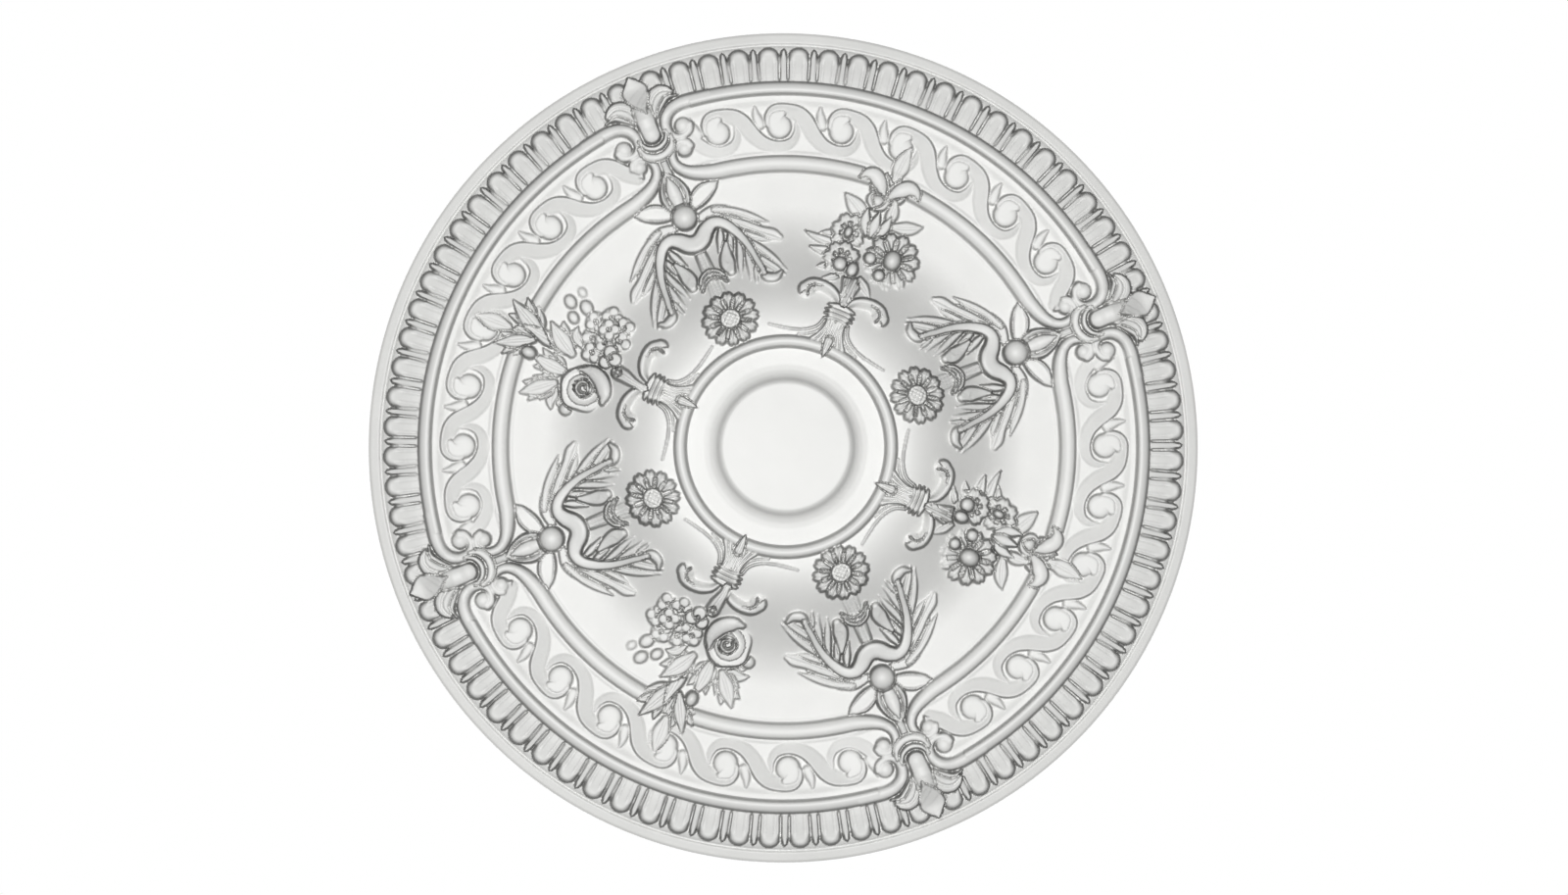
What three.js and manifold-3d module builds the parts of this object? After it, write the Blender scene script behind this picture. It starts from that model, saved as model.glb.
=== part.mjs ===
// Ceiling rose of cast plaster: a round centre ornament for a ceiling, with its relief on the face
// that looks down into the room. It is cast in one piece, so it is one closed solid.
//
// Frame: millimetres, +Z up. The flat back is at Z = 0 against the ceiling, the origin is in its
// middle, and the relief hangs down towards -Z. The form is worked out in a face frame first, where
// X is right, Y is up and Z comes towards somebody who looks up at it, and turned over at the end.

import * as THREE from 'three';
import Module from 'manifold-3d';

// Driving widths, from the rim to the middle (mm).
const roseDiameter = 820;
const rimWidth = 13;
const tongueLength = 37.5;
const outerRollWidth = 11;
const scrollBandWidth = 63;
const innerRollWidth = 13;
const fieldFlatWidth = 32.5;
const fieldSlopeWidth = 127;
const ringLedgeWidth = 6.5;
const centreRingWidth = 10.4;
const annulusWidth = 17;
const coveWidth = 17.5;

// Driving heights below the ceiling (mm).
const rimEdgeHeight = 3;
const rimHeight = 8;
const tongueFootHeight = 26;
const bandHeight = 28;
const fieldRise = 64;
const coveRise = 13;

// Rolls, waves and other repeated forms: how far each stands out of the ground (mm).
const rollRise = 9;
const centreRingRise = 6;
const tongueRise = 5;
const waveRise = 5.5;
const leafRise = 8;
const bloomRise = 7;
const scrollRise = 9;

// The ornaments are set out in hundredths of this module (mm).
const ornamentModule = 100;

// How far every ornament is rooted in the ground that carries it (mm).
const root = 7;

// Repeats round the rose.
const quarters = 4;
const tonguesPerQuarter = 20;
const wavesPerQuarter = 7;

// Directions of the ornaments in the face, in degrees counterclockwise from the right.
const tongueDirection = 113;
const cartoucheDirections = [113, 22.15, -67.2, -158.5];
const pendantDirections = [113.5, 22, -66.7, -158.6];
const daisyBouquets = [67.9, -22.1];
const roseBouquets = [156, 246];

// How far the first wave lies behind a cartouche and the last one before the next (degrees).
const firstWaveOffset = 10.5;
const lastWaveOffset = 13.6;

// Radii that follow from the widths.
const roseRadius = roseDiameter / 2;
const rimInnerRadius = roseRadius - rimWidth;
const tongueFootRadius = rimInnerRadius - tongueLength;
const outerRollRadius = tongueFootRadius - outerRollWidth / 2;
const bandOuterRadius = tongueFootRadius - outerRollWidth;
const bandInnerRadius = bandOuterRadius - scrollBandWidth;
const innerRollRadius = bandInnerRadius - innerRollWidth / 2;
const fieldOuterRadius = bandInnerRadius - innerRollWidth;
const slopeOuterRadius = fieldOuterRadius - fieldFlatWidth;
const slopeInnerRadius = slopeOuterRadius - fieldSlopeWidth;
const ringOuterRadius = slopeInnerRadius - ringLedgeWidth;
const ringInnerRadius = ringOuterRadius - centreRingWidth;
const coveOuterRadius = ringInnerRadius - annulusWidth;
const discRadius = coveOuterRadius - coveWidth;
const platformHeight = bandHeight + fieldRise;
const discHeight = platformHeight + coveRise;
const ringCount = quarters * tonguesPerQuarter;

// The acanthus leaves, the torch and its flower are set out from this radius (mm).
const pendantRadius = 170.5;

const wasm = await Module();
wasm.setup();

const plaster = new THREE.MeshStandardMaterial({ color: 0xeeece6, roughness: 0.85, metalness: 0 });

function radians(degrees) {
  return (degrees * Math.PI) / 180;
}

// Half a turn about Y takes the face frame to the mounted frame.
function mounted([x, y, z]) {
  return [-x, y, -z];
}

// Six times the volume inside a list of triangles, positive when they face outwards.
function signedVolume(points, triangles) {
  return triangles.reduce((sum, [a, b, c]) => {
    const [p, q, r] = [points[a], points[b], points[c]];
    return sum + p[0] * (q[1] * r[2] - q[2] * r[1])
      + p[1] * (q[2] * r[0] - q[0] * r[2])
      + p[2] * (q[0] * r[1] - q[1] * r[0]);
  }, 0);
}

function solidOf(points, triangles) {
  const outward = signedVolume(points, triangles) > 0;
  const faces = outward ? triangles : triangles.map(([a, b, c]) => [a, c, b]);
  return new wasm.Manifold(new wasm.Mesh({
    numProp: 3,
    vertProperties: new Float32Array(points.flatMap(mounted)),
    triVerts: new Uint32Array(faces.flat()),
  }));
}

// The ground: its section from the rim inwards as [radius, height] pairs.

// Flat at both ends and steep in the middle; the power moves the steep part inwards.
const ogeePower = 1.055;

function ogee(share) {
  const x = share ** ogeePower;
  const soft = x * x * (3 - 2 * x);
  const softer = x * x * x * (x * (6 * x - 15) + 10);
  return (soft + softer) / 2;
}

const slopeShares = [0.33, 0.7];
const coveCurve = [[0.5, 0.2], [0.86, 0.66]];
const groundSection = [
  [roseRadius, rimEdgeHeight],
  [rimInnerRadius, rimHeight],
  [tongueFootRadius, tongueFootHeight],
  [bandOuterRadius, bandHeight],
  [bandInnerRadius, bandHeight],
  [slopeOuterRadius, bandHeight],
  ...slopeShares.map((share) => [
    slopeOuterRadius - share * fieldSlopeWidth,
    bandHeight + fieldRise * ogee(share),
  ]),
  [slopeInnerRadius, platformHeight],
  [ringOuterRadius, platformHeight],
  [coveOuterRadius, platformHeight],
  ...coveCurve.map(([share, rise]) => [
    coveOuterRadius - share * coveWidth,
    platformHeight + rise * coveRise,
  ]),
  [discRadius, discHeight],
  [0, discHeight],
];

function groundHeight(radius) {
  const next = groundSection.findIndex(([r]) => r <= radius);
  if (next <= 0) {
    return next === 0 ? groundSection[0][1] : discHeight;
  }
  const [r0, h0] = groundSection[next - 1];
  const [r1, h1] = groundSection[next];
  return h0 + ((r0 - radius) / (r0 - r1)) * (h1 - h0);
}

// A body of rings round the axis: each ring is a list of points, and a ring may have half or
// twice as many points as its neighbour.

class RingBody {
  constructor() {
    this.points = [];
    this.triangles = [];
  }

  point(radius, turn, height) {
    const angle = radians(tongueDirection) + turn;
    this.points.push([radius * Math.cos(angle), radius * Math.sin(angle), height]);
    return this.points.length - 1;
  }

  ring(radius, height, count) {
    return Array.from({ length: count }, (_, i) => this.point(radius, (2 * Math.PI * i) / count, height));
  }

  // The strip between an outer and an inner ring, seen from the front.
  strip(outer, inner) {
    const count = Math.max(outer.length, inner.length);
    const at = (ring, i) => ring[Math.floor((i * ring.length) / count) % ring.length];
    for (let i = 0; i < count; i += 1) {
      const [a, b] = [at(outer, i), at(outer, i + 1)];
      const [c, d] = [at(inner, i), at(inner, i + 1)];
      if (a !== b) {
        this.triangles.push([a, b, d]);
      }
      if (c !== d) {
        this.triangles.push([a, d, c]);
      }
    }
  }

  strips(rings) {
    rings.slice(1).forEach((ring, i) => this.strip(rings[i], ring));
  }

  // A fan that closes a ring with one point in the middle.
  cap(outer, height, facesFront) {
    const middle = this.point(0, 0, height);
    outer.forEach((a, i) => {
      const b = outer[(i + 1) % outer.length];
      this.triangles.push(facesFront ? [a, b, middle] : [b, a, middle]);
    });
  }
}

// The tongue band: round-ended, crowned tongues between the rim and the outer roll.
const tongueShape = {
  halfWidth: 0.34,
  endHalfWidth: 0.17,
  sideEnd: 0.72,
  crownEnd: 0.78,
  roundEnd: 0.93,
};

function tongueBand(body, rimRing, rollRing) {
  const pitch = (2 * Math.PI) / ringCount;
  const { halfWidth, endHalfWidth, sideEnd, crownEnd, roundEnd } = tongueShape;
  const spot = (turn, share, rise) => {
    const radius = tongueFootRadius + share * tongueLength;
    return body.point(radius, turn * pitch, groundHeight(radius) + rise);
  };
  const tongues = Array.from({ length: ringCount }, (_, k) => ({
    footLeft: spot(k + 0.5 - halfWidth, 0, 0),
    footRight: spot(k + 0.5 + halfWidth, 0, 0),
    left: spot(k + 0.5 - halfWidth, sideEnd, 0),
    right: spot(k + 0.5 + halfWidth, sideEnd, 0),
    roundLeft: spot(k + 0.5 - endHalfWidth, roundEnd, 0),
    roundRight: spot(k + 0.5 + endHalfWidth, roundEnd, 0),
    crown: spot(k + 0.5, crownEnd, tongueRise),
  }));
  const rollAt = (k) => rollRing[Math.floor((k + 1) / 2) % rollRing.length];
  tongues.forEach((t, k) => {
    const next = (k + 1) % ringCount;
    const n = tongues[next];
    body.triangles.push(
      [t.left, t.crown, t.footLeft],
      [t.crown, t.footRight, t.footLeft],
      [t.crown, t.right, t.footRight],
      [t.roundLeft, t.crown, t.left],
      [t.roundLeft, t.roundRight, t.crown],
      [t.roundRight, t.right, t.crown],
      [t.right, n.left, n.footLeft],
      [t.right, n.footLeft, t.footRight],
      [rimRing[k], rimRing[next], t.roundLeft],
      [rimRing[next], t.roundRight, t.roundLeft],
      [rimRing[next], t.right, t.roundRight],
      [rimRing[next], n.left, t.right],
      [rimRing[next], n.roundLeft, n.left],
      [t.footLeft, t.footRight, rollAt(k)],
      [t.footRight, n.footLeft, rollAt(k + 1)],
    );
    if (rollAt(k) !== rollAt(k + 1)) {
      body.triangles.push([t.footRight, rollAt(k + 1), rollAt(k)]);
    }
  });
}

// A ring moulding stands on the ground between two radii, with two edges on its crown.
const crownShare = 0.25;

function moulding(body, outerRadius, width, height, rise, count) {
  return [crownShare, 1 - crownShare].map((share) => body.ring(outerRadius - share * width, height + rise, count));
}

function groundBody() {
  const body = new RingBody();
  const fine = ringCount;
  const coarse = ringCount / 2;
  const innerSection = groundSection.filter(([radius]) => radius < ringInnerRadius && radius > 0);
  const slopeSection = groundSection.filter(([radius]) => (
    radius <= slopeOuterRadius && radius >= ringOuterRadius
  ));
  const rim = [body.ring(roseRadius, rimEdgeHeight, fine), body.ring(rimInnerRadius, rimHeight, fine)];
  const outerRoll = moulding(body, tongueFootRadius, outerRollWidth, bandHeight, rollRise, coarse);
  const inwards = [
    ...outerRoll,
    body.ring(bandOuterRadius, bandHeight, coarse),
    body.ring(bandInnerRadius, bandHeight, coarse),
    ...moulding(body, bandInnerRadius, innerRollWidth, bandHeight, rollRise, coarse),
    body.ring(fieldOuterRadius, bandHeight, coarse),
    ...slopeSection.map(([radius, height]) => body.ring(radius, height, coarse)),
    ...moulding(body, ringOuterRadius, centreRingWidth, platformHeight, centreRingRise, coarse),
    body.ring(ringInnerRadius, platformHeight, coarse),
    ...innerSection.map(([radius, height]) => body.ring(radius, height, coarse)),
  ];
  body.strips(rim);
  tongueBand(body, rim[1], outerRoll[0]);
  body.strips(inwards);
  body.cap(inwards[inwards.length - 1], discHeight, true);

  const back = body.ring(roseRadius, 0, fine);
  body.strip(back, rim[0]);
  body.cap(back, 0, false);
  return solidOf(body.points, body.triangles);
}

// Ornaments. A place is given by the direction of its axis and two lengths in hundredths of the
// module: across, clockwise of the axis, and along, outwards from a reference radius.

const unit = ornamentModule / 100;

function placeOn(direction, along0, side = 1) {
  const turn = radians(direction);
  return (across, along) => {
    const s = side * across * unit;
    const a = along0 + along * unit;
    return [a * Math.cos(turn) + s * Math.sin(turn), a * Math.sin(turn) - s * Math.cos(turn)];
  };
}

function lifted([x, y], rise) {
  return [x, y, groundHeight(Math.hypot(x, y)) + rise];
}

// A closed skin over loops of equal length, closed at both ends by a single point.
function loft(loops, firstTip, lastTip) {
  const count = loops[0].length;
  const points = [...loops.flat(), firstTip, lastTip];
  const first = points.length - 2;
  const last = points.length - 1;
  const triangles = [];
  for (let k = 0; k < count; k += 1) {
    const next = (k + 1) % count;
    for (let j = 0; j + 1 < loops.length; j += 1) {
      const a = j * count + k;
      const b = j * count + next;
      triangles.push([a, b, b + count], [a, b + count, a + count]);
    }
    const end = (loops.length - 1) * count;
    triangles.push([first, next, k], [last, end + k, end + next]);
  }
  return solidOf(points, triangles);
}

// Sections of a strand: shares of the half width across and of the rise upwards.
const bevelled = [[-1.15, 0], [-0.6, 1], [0.6, 1], [1.15, 0]];
const ridged = [[-1.5, 0], [0, 1], [1.5, 0]];
const onFlat = [[-1, 0], [0, 1], [1, 0]];

// A strand lies along a path of [x, y, half width, rise] rows; it tapers to its two end rows.
function strand(path, section, rooted) {
  const inner = path.slice(1, -1);
  const loops = inner.map(([x, y, halfWidth, rise], i) => {
    const before = path[i];
    const after = path[i + 2];
    const length = Math.hypot(after[0] - before[0], after[1] - before[1]);
    const nx = -(after[1] - before[1]) / length;
    const ny = (after[0] - before[0]) / length;
    return section.map(([share, up]) => {
      const spot = [x + share * halfWidth * nx, y + share * halfWidth * ny];
      return lifted(spot, up > 0 ? up * rise : -rooted);
    });
  });
  const tip = ([x, y]) => lifted([x, y], -rooted);
  return loft(loops, tip(path[0]), tip(path[path.length - 1]));
}

// Rows of [across, along, half width, rise] become a path in the face.
function pathFrom(place, rows) {
  return rows.map(([across, along, halfWidth = 0, rise = 0]) => [
    ...place(across, along),
    halfWidth * unit,
    rise,
  ]);
}

function strandOn(place, rows, section = ridged, rooted = root) {
  return strand(pathFrom(place, rows), section, rooted);
}

// A boss is a low dome, such as a berry or the eye of a scroll.
function bossOn(place, across, along, radius, rise, sides = 6) {
  const loops = [[1, -root], [0.75, 0.75 * rise]].map(([share, up]) => (
    Array.from({ length: sides }, (_, i) => {
      const turn = (2 * Math.PI * i) / sides;
      const reach = share * radius;
      return lifted(place(across + reach * Math.cos(turn), along + reach * Math.sin(turn)), up);
    })
  ));
  return loft(loops, lifted(place(across, along), -root), lifted(place(across, along), rise));
}

// An open flower: a star of folded petals that rises to an eye. The star's rim lies in the ground,
// so its tips and valleys reach beyond and into the flower's own outline.
const petalTip = 1.25;
const petalValley = 0.85;
const flowerCrown = 1.6;
const flowerEye = 1.7;

function bloomOn(place, across, along, radius, petals, eye) {
  const star = Array.from({ length: 2 * petals }, (_, i) => {
    const turn = (Math.PI * (i + 1)) / petals;
    const reach = radius * (i % 2 === 0 ? petalTip : petalValley);
    return lifted(place(across + reach * Math.sin(turn), along + reach * Math.cos(turn)), -root);
  });
  const middle = place(across, along);
  const flower = loft([star], lifted(middle, -2 * root), lifted(middle, flowerCrown * bloomRise));
  return flower.add(bossOn(place, across, along, eye, flowerEye * bloomRise));
}

function bothSides(direction, along0, make) {
  return [1, -1].flatMap((side) => make(placeOn(direction, along0, side)));
}

// The two rolls that frame the scroll band curl into the band at both sides of each cartouche.
// Rows: across from the cartouche axis, along from the roll's own radius, half width.
const outerCurl = [[40, -1], [22, -9, 5.5], [18, -24, 5], [28, -32]];
const outerEye = [32, -23, 9.5];
const innerCurl = [[38, 1], [16, 12, 6], [9, 28, 5], [20, 39]];
const innerEye = [25, 31, 9];

function curls(direction) {
  const curl = (rows) => rows.map(([s, a, w]) => [s, a, w, rollRise]);
  return [
    ...bothSides(direction, outerRollRadius, (side) => [
      strandOn(side, curl(outerCurl), ridged),
      bossOn(side, ...outerEye, rollRise),
    ]),
    ...bothSides(direction, innerRollRadius, (side) => [
      strandOn(side, curl(innerCurl), ridged),
      bossOn(side, ...innerEye, rollRise),
    ]),
  ];
}

// One wave of the running scroll: its eye, its head, its back and its tail, which passes under
// the next eye and hooks up behind it. Rows: across along the band, along from its middle.
const waveRows = [[-3, -16], [1, 1, 13], [21, 13, 8], [42, -11, 7], [64, -19, 5.5], [80, 3]];

function wave(direction) {
  const bandMiddle = (bandOuterRadius + bandInnerRadius) / 2;
  const bent = (across, along) => {
    const turn = radians(direction) - (across * unit) / bandMiddle;
    const radius = bandMiddle + along * unit;
    return [radius * Math.cos(turn), radius * Math.sin(turn)];
  };
  return strandOn(bent, waveRows.map(([s, a, w]) => [s, a, w, waveRise]), onFlat, 0);
}

// The cartouche on each quarter: a palmette over the outer roll, its neck and collar between the
// curls, and a trefoil with a berry below.
function cartouche(direction, pendantDirection) {
  const onBand = (bandOuterRadius + bandInnerRadius) / 2;
  const place = placeOn(direction, onBand);
  const pendant = placeOn(pendantDirection, onBand);
  const high = leafRise + 5;
  const inMiddle = [
    strandOn(place, [[0, 32], [0, 40, 7, high], [0, 62, 14, leafRise], [0, 79]], ridged),
    strandOn(place, [[0, 48], [0, 32, 10, high], [0, 12, 9, high], [0, 4]], bevelled),
    strandOn(place, [[-16, 8], [-11, -2, 5, leafRise], [11, -2, 5, leafRise], [16, 8]]),
    strandOn(place, [[0, -2], [0, -10, 5.5, leafRise], [0, -28]]),
    strandOn(pendant, [[0, -66], [0, -52, 16, leafRise + 3], [0, -36, 11, leafRise + 3], [0, -24]], ridged),
    bossOn(pendant, 0, -72, 13, leafRise + 4, 8),
  ];
  const lobes = bothSides(direction, onBand, (side) => [
    strandOn(side, [[4, 34], [13, 46, 6, leafRise], [24, 56, 7, leafRise], [35, 50]], ridged),
  ]);
  const petals = bothSides(pendantDirection, onBand, (side) => [
    strandOn(side, [[8, -66], [26, -57, 10, leafRise], [46, -50]], ridged),
  ]);
  return [...inMiddle, ...lobes, ...petals];
}

// Acanthus leaves that hang on both sides of each cartouche, the rolled ribbon between them, the
// torch with its tie, and the flower that it stands on.
function acanthusGroup(direction) {
  const onSlope = pendantRadius;
  const place = placeOn(direction, onSlope);
  const leaves = bothSides(direction, onSlope, (side) => [
    strandOn(side, [[8, 65], [30, 60, 8, leafRise], [46, 34, 9, leafRise], [51, 6, 7, leafRise],
      [56, -18]], ridged),
    strandOn(side, [[34, 56], [54, 48, 8, leafRise], [74, 40]]),
    strandOn(side, [[42, 38], [62, 29, 8, leafRise], [80, 20]]),
    strandOn(side, [[47, 24], [62, 6, 7, leafRise], [73, -15]]),
    strandOn(side, [[30, 54], [20, 20, 9, leafRise], [20, 3]], ridged),
  ]);
  return [
    ...leaves,
    strandOn(place, [[-34, 55], [-21, 57, 7, leafRise], [0, 46, 9, leafRise], [21, 57, 7, leafRise],
      [34, 55]], ridged),
    strandOn(place, [[0, 42], [0, 12, 8, leafRise - 1], [0, -14]]),
    strandOn(place, [[-16, 3], [0, 10, 7, leafRise + 2], [16, 3]]),
    bloomOn(place, 0, -34, 31, 12, 11.5),
  ];
}

// What both kinds of bouquet share: the binder on the ring, the fan of strands, the tie and the
// two scrolls.
function bouquetFoot(direction) {
  const place = placeOn(direction, ringOuterRadius);
  const high = leafRise + 4;
  const scrolls = bothSides(direction, ringOuterRadius, (side) => [
    strandOn(side, [[3, 40], [18, 52, 5, scrollRise], [36, 54, 7, scrollRise], [46, 40]], ridged),
    bossOn(side, 40, 40, 8, scrollRise, 5),
  ]);
  return [
    ...scrolls,
    strandOn(place, [[0, -13], [0, -4, 5, leafRise], [0, 8]], ridged),
    strandOn(place, [[0, -3], [0, 4, 13, leafRise], [0, 30]], ridged),
    strandOn(place, [[0, 20], [0, 27, 12, high], [0, 40, 13, high], [0, 46]], bevelled),
  ];
}

// Bouquet with three daisies, berries, a rosebud and pointed leaves.
function daisyBouquet(direction) {
  const place = placeOn(direction, ringOuterRadius);
  const leaf = (rows) => strandOn(place, rows.map(([s, a, w]) => [s, a, w, leafRise - 2]));
  return [
    ...bouquetFoot(direction),
    bloomOn(place, 30, 103, 28, 9, 11),
    bloomOn(place, -16, 82, 23, 7, 9),
    bloomOn(place, -20, 115, 19, 6, 6),
    leaf([[0, 40], [0, 62, 9], [0, 74]]),
    bossOn(place, 0, 131, 10, leafRise, 5),
    bossOn(place, -6, 151, 8, leafRise, 5),
    leaf([[-8, 134], [-24, 143, 8], [-39, 148]]),
    leaf([[16, 132], [14, 146, 7], [8, 158]]),
    leaf([[20, 128], [33, 138, 7], [45, 146]]),
    ...bothSides(direction, ringOuterRadius, (side) => [
      strandOn(side, [[2, 162], [15, 173, 9, leafRise + 5], [30, 164]]),
    ]),
    strandOn(place, [[0, 180], [0, 196, 9, leafRise], [0, 212]]),
  ];
}

// Bouquet with an open rose, a hydrangea head, a pansy, a sprig and leaves over the inner roll.
function roseBouquet(direction) {
  const place = placeOn(direction, ringOuterRadius);
  const leaf = (rows, rise = leafRise - 2) => strandOn(place, rows.map(([s, a, w]) => [s, a, w, rise]));
  return [
    ...bouquetFoot(direction),
    bossOn(place, -28, 98, 24, 1.5 * bloomRise, 8),
    bossOn(place, 32, 98, 20, 1.3 * bloomRise, 8),
    bossOn(place, 8, 86, 11, bloomRise, 6),
    bossOn(place, -57, 105, 7, leafRise, 5),
    bossOn(place, -24, 162, 8, leafRise, 5),
    bossOn(place, 28, 137, 6, bloomRise - 2, 5),
    bossOn(place, 40, 146, 7, bloomRise - 2, 5),
    leaf([[-34, 132], [-48, 145, 9], [-63, 152]]),
    leaf([[-36, 124], [-50, 126, 8], [-63, 119]]),
    leaf([[-20, 122], [-22, 142, 9], [-24, 158]]),
    leaf([[-2, 124], [5, 142, 10], [17, 153]]),
    leaf([[-4, 40], [-4, 68, 8], [-4, 78]], leafRise + 2),
    leaf([[0, 154], [7, 176, 10], [14, 198]], leafRise + 5),
    leaf([[-10, 160], [-17, 178, 8], [-29, 196]], leafRise + 5),
    leaf([[-3, 194], [-5, 208, 9], [-9, 223]]),
  ];
}

const ornaments = [];
cartoucheDirections.forEach((direction, k) => {
  const pendant = pendantDirections[k];
  const span = (direction - cartoucheDirections[(k + 1) % quarters] + 360) % 360;
  const pitch = (span - firstWaveOffset - lastWaveOffset) / (wavesPerQuarter - 1);
  ornaments.push(...curls(direction), ...cartouche(direction, pendant), ...acanthusGroup(pendant));
  for (let w = 0; w < wavesPerQuarter; w += 1) {
    ornaments.push(wave(direction - firstWaveOffset - pitch * w));
  }
});
daisyBouquets.forEach((direction) => ornaments.push(...daisyBouquet(direction)));
roseBouquets.forEach((direction) => ornaments.push(...roseBouquet(direction)));

const rose = ornaments.reduce((body, ornament) => body.add(ornament), groundBody());

const carved = rose.getMesh();
const geometry = new THREE.BufferGeometry();
geometry.setAttribute('position', new THREE.BufferAttribute(carved.vertProperties, 3));
geometry.setIndex(new THREE.BufferAttribute(carved.triVerts, 1));

const group = new THREE.Group();
const ceilingRose = new THREE.Mesh(geometry, plaster);
ceilingRose.name = 'ceiling_rose';
group.add(ceilingRose);

export default group;
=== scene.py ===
"""Cast plaster ceiling rose, hung face down, seen from below."""

import math

import bpy
import numpy as np
from mathutils import Matrix


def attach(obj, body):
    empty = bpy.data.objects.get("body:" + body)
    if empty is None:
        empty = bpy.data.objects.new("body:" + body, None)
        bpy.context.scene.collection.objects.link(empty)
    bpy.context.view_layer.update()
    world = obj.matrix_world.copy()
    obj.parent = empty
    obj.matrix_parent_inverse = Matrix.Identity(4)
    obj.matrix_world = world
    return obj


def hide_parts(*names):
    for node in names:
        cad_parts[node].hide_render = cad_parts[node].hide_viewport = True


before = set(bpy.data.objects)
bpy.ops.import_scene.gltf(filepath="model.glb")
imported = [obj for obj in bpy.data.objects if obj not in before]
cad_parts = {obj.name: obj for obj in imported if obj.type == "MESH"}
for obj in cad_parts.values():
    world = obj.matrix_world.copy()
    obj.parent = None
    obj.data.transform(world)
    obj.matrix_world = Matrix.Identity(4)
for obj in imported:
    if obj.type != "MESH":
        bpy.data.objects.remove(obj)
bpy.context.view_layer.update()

# The ground of the rose
# One plaster casting: a thin rim, a sloping band for the tongues, a flat band for the running
# scroll, a field that rises in an ogee, a ring moulding and a cove round the plain lamp seat.
# All lengths are millimetres in a face frame: x right, y up, height out of the ceiling.

MM = 0.001
rose_radius = 410.0
ground_knots = (
    (0, 105), (61.2, 105), (62.4, 104.4), (64.6, 102), (67, 98.4), (70, 95.4), (74, 93.2),
    (79.5, 92), (113, 92),
)
slope_inner, slope_outer, slope_power = 113.0, 240.0, 1.055
band_height, platform_height = 28.0, 92.0
outer_knots = (
    (240, 28), (267.2, 28), (268, 28.5), (288, 29), (290, 29), (291.4, 28), (330, 28.3), (336, 29.6),
    (341, 31.8), (346.5, 32.4), (349, 32.4), (358.5, 28), (359.6, 26.5), (361, 26), (395.8, 6.6),
    (398, 3.6), (399.8, 6.8), (400.6, 6.7), (408, 5.0), (410, 3.4),
)
ground_step, ground_blur = 0.1, 8

# Rings of the casting, from the rim inwards: name, outer and inner radius, points round and
# spacing along the radius.
rings = (
    ("rim", 410.0, 397.6, 480, 0.9),
    ("tongue_band", 397.6, 360.0, 1920, 1.08),
    ("scroll_band_outer", 360.0, 313.0, 1920, 1.08),
    ("scroll_band_inner", 313.0, 266.8, 1920, 1.08),
    ("field_outer", 266.8, 226.0, 1400, 1.08),
    ("field_inner", 226.0, 180.0, 1400, 1.08),
    ("ogee_foot", 180.0, 92.6, 960, 1.06),
    ("lamp_seat", 92.6, 2.0, 360, 1.4),
)


def soft_step(x):
    """0 up to 0, 1 from 1, and x * x * (3 - 2x) between."""
    x = np.clip(x, 0, 1)
    return x * x * (3 - 2 * x)


def ground_table():
    """Straight lines between the knots and an ogee, flat at both ends and steepest inside its
    middle, all smoothed over eight steps to both sides."""
    radii = np.arange(0, rose_radius + 4, ground_step)
    knots = np.array(ground_knots + outer_knots, float)
    heights = np.interp(radii, knots[:, 0], knots[:, 1])
    x = np.clip((slope_outer - radii) / (slope_outer - slope_inner), 0, 1) ** slope_power
    rise = (soft_step(x) + x ** 3 * (x * (6 * x - 15) + 10)) / 2
    ogee = band_height + (platform_height - band_height) * rise
    on_slope = (radii > slope_inner) & (radii < slope_outer)
    heights = np.where(on_slope, ogee, heights)
    padded = np.pad(heights, ground_blur, mode="edge")
    kernel = np.hanning(2 * ground_blur + 3)[1:-1]
    return radii, np.convolve(padded, kernel / kernel.sum(), mode="valid")


ground_radii, ground_heights = ground_table()


def ring_radii(outer, inner, spacing):
    """Radii from the outer to the inner edge, with one more beyond each end for the slopes."""
    count = int(round((outer - inner) / spacing))
    steps = np.arange(-1, count + 2)
    return outer + (inner - outer) * steps / count


grids = []
for name, outer, inner, around, spacing in rings:
    radii = ring_radii(outer, inner, spacing)
    turns = 2 * np.pi * np.arange(around) / around
    grids.append(np.meshgrid(radii, turns, indexing="ij"))
R = np.concatenate([radius.ravel() for radius, turn in grids])
T = np.concatenate([turn.ravel() for radius, turn in grids])
X, Y = R * np.cos(T), R * np.sin(T)
ground = np.interp(R, ground_radii, ground_heights)
relief = np.zeros(len(R))

# The tongue band
# Round-ended tongues with a raised border and a crowned middle, and a ribbed dart between each
# two, cast on the slope behind the rim. Their ends stand up like small noses. The four quarters of
# the model were not quite equal, so each has its own first tongue and spacing, in degrees.

quarter_axes = (113.0, 22.15, -67.2, -158.5)
tongue_starts = (2.93, 1.77, 2.42, 2.52)
tongue_pitches = (4.443, 4.463, 4.51, 4.408)
tongue_foot, tongue_end_centre, tongue_end_radius = 359.0, 384.2, 10.9
tongue_foot_half = 9.2
tongue_rises = ((360, 1.6), (368, 4.6), (374, 6.4), (384, 9.0), (387, 9.9), (392, 12), (395, 12.6))
# An edge is the width of the quarter round along an outline, and a run the length along the radius
# over which something sets in or fades, from the radius named a start or an end.
tongue_side_edge, tongue_end_edge, tongue_end_start = 1.6, 6.0, 378.0
border_off, border_groove, border_groove_half, border_end = 5.0, 1.5, 0.9, 377.0
end_run = 9.0
dart_half, dart_foot, dart_tip, dart_share, dart_edge = 3.9, 380.0, 393.5, 0.85, 1.6
rib_rise, rib_spacing = 0.5, 2.9
gap_depth, gap_start, gap_start_run, gap_end, gap_end_run = 4.2, 361.0, 2.0, 384.0, 8.0
band_limits = (360.2, 396.5)


def rounded_edge(inside, width):
    """Quarter round over the given width, from 0 at the edge to 1."""
    x = np.clip(inside / width, 0, 1)
    return np.sqrt(1 - (1 - x) ** 2)


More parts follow.
